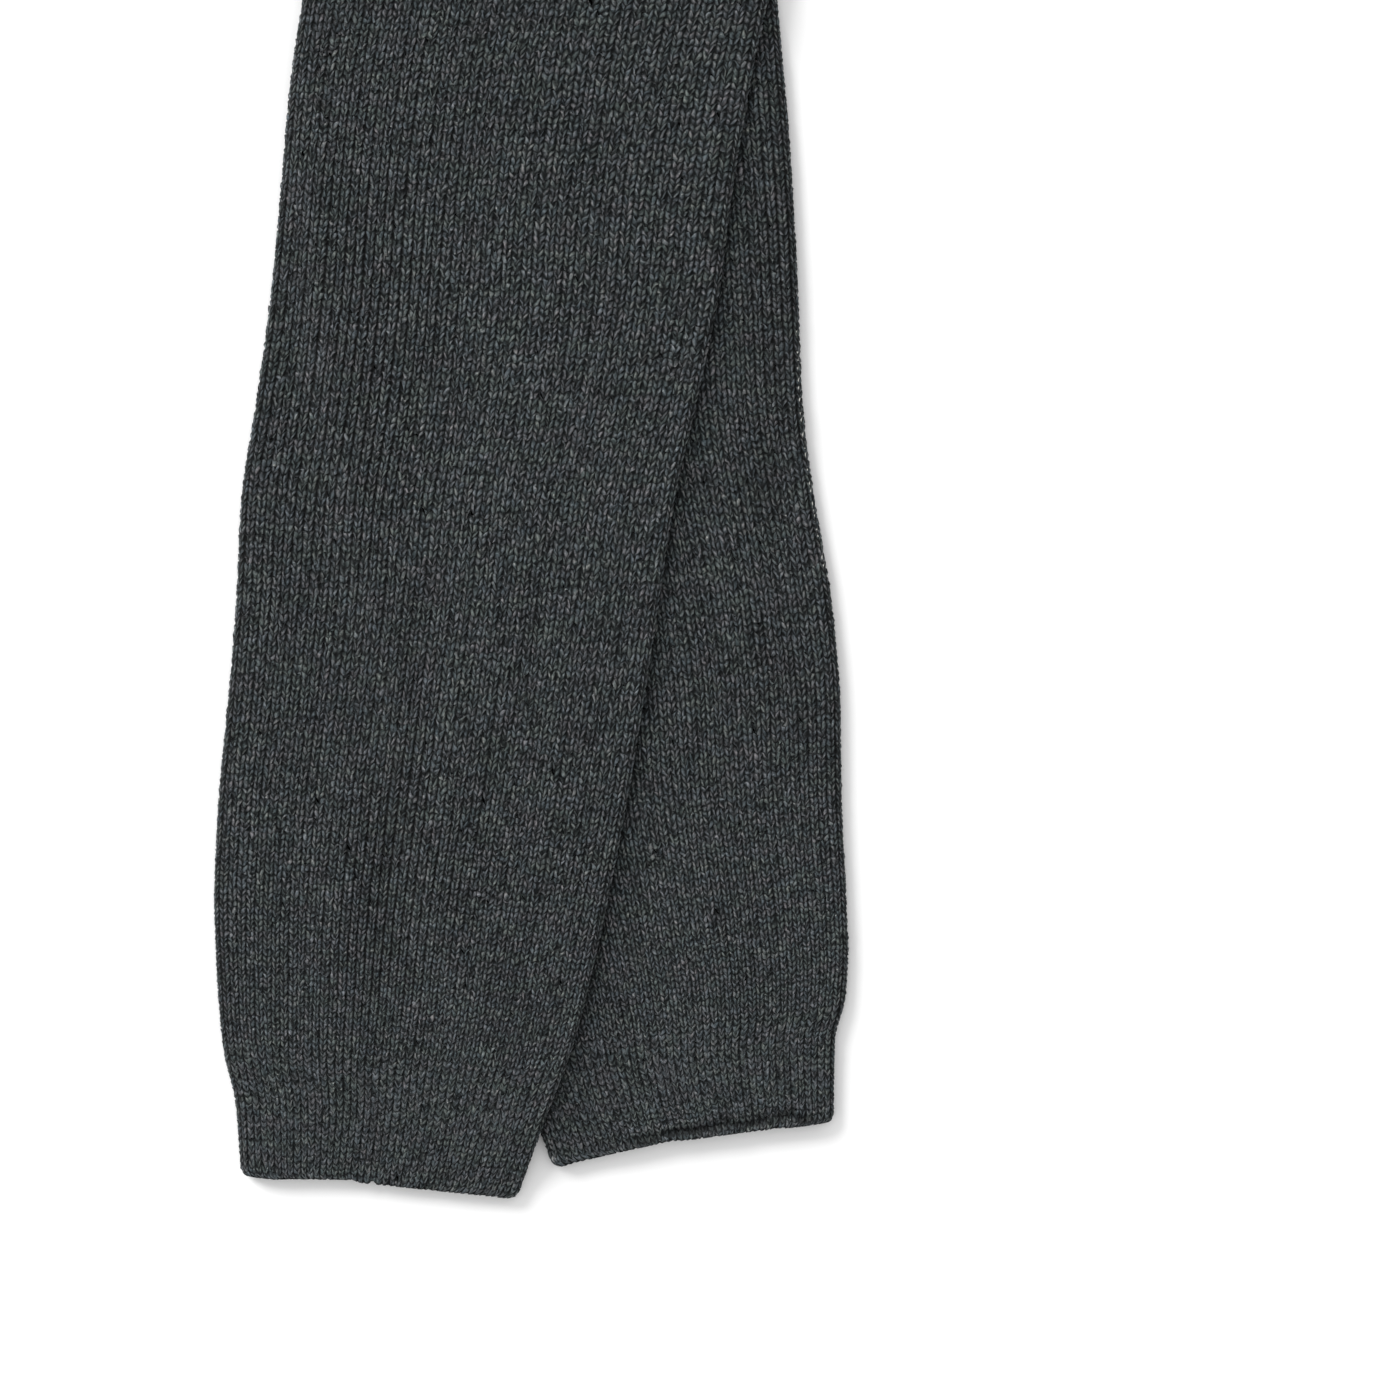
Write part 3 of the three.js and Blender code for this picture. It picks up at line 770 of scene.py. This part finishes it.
class Shader:
    """A material's node tree, with one method that adds any node."""

    def __init__(self, name):
        self.material = bpy.data.materials.new(name)
        self.material.use_nodes = True
        self.tree = self.material.node_tree
        self.surface = self.tree.nodes["Principled BSDF"]

    def node(self, kind, settings=None, inputs=(), out=0):
        """A new node: its type, its settings, then its inputs. Returns one of its outputs."""
        made = self.tree.nodes.new(kind)
        for key, value in (settings or {}).items():
            setattr(made, key, value)
        pairs = inputs.items() if isinstance(inputs, dict) else enumerate(inputs)
        for key, value in pairs:
            self.feed(made.inputs[key], value)
        return Number(self, made.outputs[out])

    def feed(self, socket, value):
        if isinstance(value, Number):
            self.tree.links.new(value.socket, socket)
        else:
            socket.default_value = value

    def blend(self, share, low, high, how="MIX"):
        """One colour into another by a share from 0 to 1."""
        settings = {"data_type": "RGBA", "blend_type": how, "clamp_factor": True}
        return self.node("ShaderNodeMix", settings, {0: share, 6: low, 7: high}, out=2)

    def ease(self, value, start, end):
        """0 to 1 over a range of the value, softly."""
        settings = {"interpolation_type": "SMOOTHSTEP"}
        inputs = {"Value": value, "From Min": start, "From Max": end}
        return self.node("ShaderNodeMapRange", settings, inputs)

    def ramp(self, value, start, end):
        """0 to 1 over a range of the value, evenly."""
        settings = {"interpolation_type": "LINEAR"}
        inputs = {"Value": value, "From Min": start, "From Max": end}
        return self.node("ShaderNodeMapRange", settings, inputs)

    def noise(self, vector, scale=1.0, detail=2.0, roughness=0.5, out=0):
        inputs = {"Vector": vector, "Scale": scale, "Detail": detail, "Roughness": roughness}
        return self.node("ShaderNodeTexNoise", {"noise_dimensions": "3D"}, inputs, out)

    def spot(self, x, y, z):
        """A vector from three numbers."""
        return self.node("ShaderNodeCombineXYZ", None, (x, y, z))

    def knit_noise(self, u, v, across, along, apart, **settings):
        """Noise over the stitches, with `across` waves to a stitch and `along` to a course.

        `apart` is any number that no other noise has.
        """
        return self.noise(self.spot(u * across, v * along, apart), **settings)

    def parts(self, vector):
        """The three numbers of a vector."""
        split = self.node("ShaderNodeSeparateXYZ", None, (vector,))
        return [Number(self, output) for output in split.socket.node.outputs]

    def scaled(self, colour, share):
        settings = {"operation": "SCALE"}
        return self.node("ShaderNodeVectorMath", settings, {0: colour, "Scale": share})


def linear(red, green, blue):
    """A colour given in 0 to 255 screen values, as light."""
    return (*(((c / 255 + 0.055) / 1.055) ** 2.4 for c in (red, green, blue)), 1.0)


# The yarn's three greys, the tints of its dark and light strands, and the painted shade in the gaps
# between them.
PLUM_GREY = linear(82.4, 81.7, 84.3)
GREEN_GREY = linear(79.2, 84.2, 81.8)
BLUE_GREY = linear(76.8, 82.7, 87.6)
DEEP_TINT = (0.82, 1.0, 1.04, 1.0)
HIGH_TINT = (1.06, 1.0, 0.98, 1.0)
GAP_PAINTED_SHADE = linear(7, 10, 11)
PALE_FLECK = linear(176, 176, 170)
# Pale spots: flecks of fibre, and the painted light between loose stitches.
PALE_SPOT_AND_PAINTED_LIGHT = linear(205, 205, 200)
# Scales of the fine grain, in waves to the metre.
HAIR_SCALE = 2300.0
FLECK_SCALE = 1150.0
PATCH_SCALE = 75.0
YARN_STRAY_ALONG = 2.2  # courses that the yarn strays along, for each stitch across
# On one leg of a stitch, in shares of its width: where the yarn beside the gap is full, where it
# begins to dip to the stitch's middle, how far the leg leans over a course, and how far the gaps
# of loose and of tight columns differ. In shares of half a course: where the dip between courses
# begins and ends.
SIDE_FULL = 0.47
MIDDLE_FROM = 0.55
LEG_LEAN = 0.18
TIGHTNESS = 0.06
COURSE_DIP = (0.1, 0.95)
# The parts of their noises that show as green-grey, as blue-grey and as pale flecks.
GREEN_RANGE = (0.36, 0.64)
BLUE_RANGE = (0.4, 0.7)
FLECK_RANGE = (0.735, 0.79)
BUMP_STRENGTH = 0.5
BUMP_HEIGHT = 0.5 * MM
SHEEN = {"Sheen Weight": 0.08, "Sheen Roughness": 0.45, "Sheen Tint": (0.75, 0.8, 0.82, 1.0)}


def strayed_yarn(shader, even_u, even_v, unevenness):
    """The stitch places with the yarn astray: across by `unevenness`, and along by more."""
    stray = shader.knit_noise(even_u, even_v, 2.0, 1.5, 17.0, detail=0.0, out=1)
    stray_u, stray_v, _ = shader.parts(stray)
    u = even_u + (stray_u - 0.5) * unevenness
    v = even_v + (stray_v - 0.5) * (YARN_STRAY_ALONG * unevenness)
    return u, v


def yarn_height(shader, u, v, even_u, even_v, middle_dip, course_dip):
    """How high the yarn stands: 1 on the crown of a stitch's leg, and down to 0 in the gaps."""
    # Across one leg of the stitch, from the gap beside it to the stitch's middle, and along it.
    across = u.calc("PINGPONG", 0.5) * 2
    along = (v.fract() * 2 - 1).calc("ABSOLUTE")
    column = (even_u + 0.5).floor()
    column_noise = shader.knit_noise(column, even_v, 0.37, 0.022, 7.0, roughness=0.6)
    tight = shader.ease(column_noise, 0.3, 0.7)
    lean = across + (v.fract() - 0.5) * LEG_LEAN
    side = shader.ramp(lean, tight * TIGHTNESS - TIGHTNESS / 2, SIDE_FULL + tight * TIGHTNESS)
    middle = 1 - shader.ramp(lean, MIDDLE_FROM, 1.0) * middle_dip
    return side * middle * (1 - shader.ramp(along, *COURSE_DIP) * course_dip)


def marl_colour(shader, u, v, place, hairs, lightness):
    """The yarn's colour: each leg of a stitch has its own shade, and the greys run in patches."""
    own = shader.node(
        "ShaderNodeTexWhiteNoise",
        {"noise_dimensions": "3D"},
        {"Vector": shader.spot((u * 2).floor(), v.floor(), 0.0)},
    )
    green = shader.ease(shader.knit_noise(u, v, 0.22, 0.4, 3.0), *GREEN_RANGE)
    blue = shader.ease(shader.knit_noise(u, v, 0.45, 0.5, 11.0, roughness=0.6), *BLUE_RANGE)
    base = shader.blend(blue * 0.8, shader.blend(green, PLUM_GREY, GREEN_GREY), BLUE_GREY)
    twist = shader.knit_noise(u, v, 3.0, 3.2, 5.0, detail=1.0)
    patch = shader.noise(place, PATCH_SCALE)
    # The shade is about 1 on average: the leg's own, by its hairs, by the twist of its strands.
    shade = (0.72 + own * 0.47) * (-0.1 + hairs * 2.2) * (-0.15 + twist * 2.3)
    tint = shader.blend(shader.ramp(shade, 0.3, 1.6), DEEP_TINT, HIGH_TINT)
    tinted = shader.blend(1.0, base, tint, "MULTIPLY")
    return shader.scaled(tinted, shade * (0.94 + patch * 0.12) * lightness)


def marl_knit(name, lightness, middle_dip, course_dip, unevenness):
    """Two-tone wool in stockinette: yarn legs with painted shade in the gaps between, soft and
    hairy.

    `middle_dip` is how much painted shade darkens the line down a stitch's middle, `course_dip` how
    much it darkens the gap from one course to the next, and `unevenness` the width of the yarn's
    straying, in stitches.
    """
    shader = Shader(name)
    place = shader.node("ShaderNodeTexCoord", out="Object")
    even_u, even_v, _ = shader.parts(shader.node("ShaderNodeUVMap", {"uv_map": "Stitch"}))
    u, v = strayed_yarn(shader, even_u, even_v, unevenness)
    yarn = yarn_height(shader, u, v, even_u, even_v, middle_dip, course_dip)
    hairs = shader.noise(place, HAIR_SCALE, 3.0, 0.7)
    lit = marl_colour(shader, u, v, place, hairs, lightness)

    # Pale flecks on the yarn, painted shade in the gaps under it, and the shade of the place,
    # with its painted shade and light.
    fleck = shader.ease(shader.noise(place, FLECK_SCALE, 1.0), *FLECK_RANGE) * yarn
    flecked = shader.blend(fleck * 0.7, lit, PALE_FLECK)
    cover = shader.ramp(yarn + (hairs - 0.5) * 0.5, 0.08, 0.86)
    # The place's shade, painted shade and light included.
    depth = shader.node("ShaderNodeAttribute", {"attribute_name": "shade"}, out="Fac")
    knit = shader.scaled(shader.blend(cover, GAP_PAINTED_SHADE, flecked), depth)
    spotted = shader.blend(shader.ease(depth, PALE_FROM, PALE_FULL), knit, PALE_SPOT_AND_PAINTED_LIGHT)
    shader.feed(shader.surface.inputs["Base Color"], spotted)

    relief = yarn * 0.75 + hairs * 0.3
    bump_inputs = {"Strength": BUMP_STRENGTH, "Distance": BUMP_HEIGHT, "Height": relief}
    shader.feed(shader.surface.inputs["Normal"], shader.node("ShaderNodeBump", None, bump_inputs))
    shader.feed(shader.surface.inputs["Roughness"], 0.86 + hairs * 0.12)
    for key, value in {"Specular IOR Level": 0.2, **SHEEN}.items():
        shader.surface.inputs[key].default_value = value
    return shader.material


def plain(name, colour, roughness):
    """One even colour, matt or shiny."""
    shader = Shader(name)
    shader.surface.inputs["Base Color"].default_value = colour
    shader.surface.inputs["Roughness"].default_value = roughness
    return shader.material


# ---------------------------------------------------------------- the garment

leg_knit = marl_knit("charcoal_marl_knit", 1.18, 0.95, 0.82, 0.3)
cuff_knit = marl_knit("charcoal_cuff_knit", 1.065, 0.5, 0.88, 0.35)

PANELS = (
    ("left_front_panel", "front_left", "left", True, "front", FINE, 11),
    ("left_back_panel", "back_left", "left", False, "back", COARSE, 23),
    ("right_back_panel", "back_right", "right", True, "back", FINE, 37),
    ("right_front_panel", "front_right", "right", False, "front", COARSE, 41),
)
for piece_name, node, half, up, part, fineness, seed in PANELS:
    piece = panel_piece(piece_name, half, up, part, fineness, seed, leg_knit)
    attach(piece, "root")
    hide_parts(node)

for half, seed in (("left", 61), ("right", 73)):
    piece = cuff_piece(f"{half}_cuff", half, seed, cuff_knit)
    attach(piece, "root")
    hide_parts(f"cuff_{half}")

piece = waistband_piece("waistband_rib", cuff_knit)
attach(piece, "root")
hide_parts("waistband")


# ---------------------------------------------------------------- floor, light and camera

KEY_HEIGHT = 24  # degrees above the table, from beyond the top left
KEY_TURN = 228
KEY_SPREAD = 34  # degrees, for soft shadows
KEY_STRENGTH = 3.87
SKY_STRENGTH = 0.89
TABLE_WIDTH = 12.0
TABLE_DROP = 0.0002  # below the garment, in metres
# The view from above, in metres: what it is centred on, and how wide it is.
VIEW_CENTRE = (0.0496, -0.1301)
VIEW_WIDTH = 0.4118
CAMERA_HEIGHT = 2.0
SENSOR = 36.0

table_top = plain("pale_table", (0.9, 0.9, 0.9, 1.0), 0.9)
bpy.ops.mesh.primitive_plane_add(size=TABLE_WIDTH, location=(0, 0, -TABLE_DROP))
floor = bpy.context.object
floor.name = "table_top"
floor.data.materials.append(table_top)

world = bpy.data.worlds.new("studio")
bpy.context.scene.world = world
world.use_nodes = True
sky = world.node_tree.nodes["Background"]
sky.inputs["Color"].default_value = (1.0, 1.0, 1.0, 1.0)
sky.inputs["Strength"].default_value = SKY_STRENGTH

sun = bpy.data.lights.new("key", "SUN")
sun.energy = KEY_STRENGTH
sun.angle = math.radians(KEY_SPREAD)
key = bpy.data.objects.new("key", sun)
key.rotation_euler = (math.radians(90 - KEY_HEIGHT), 0, math.radians(KEY_TURN))
bpy.context.collection.objects.link(key)

lens = bpy.data.cameras.new("camera")
lens.sensor_width = SENSOR
lens.lens = SENSOR * CAMERA_HEIGHT / VIEW_WIDTH
camera = bpy.data.objects.new("camera", lens)
camera.location = (*VIEW_CENTRE, CAMERA_HEIGHT)
bpy.context.collection.objects.link(camera)
bpy.context.scene.camera = camera
bpy.context.scene.view_settings.view_transform = "Standard"
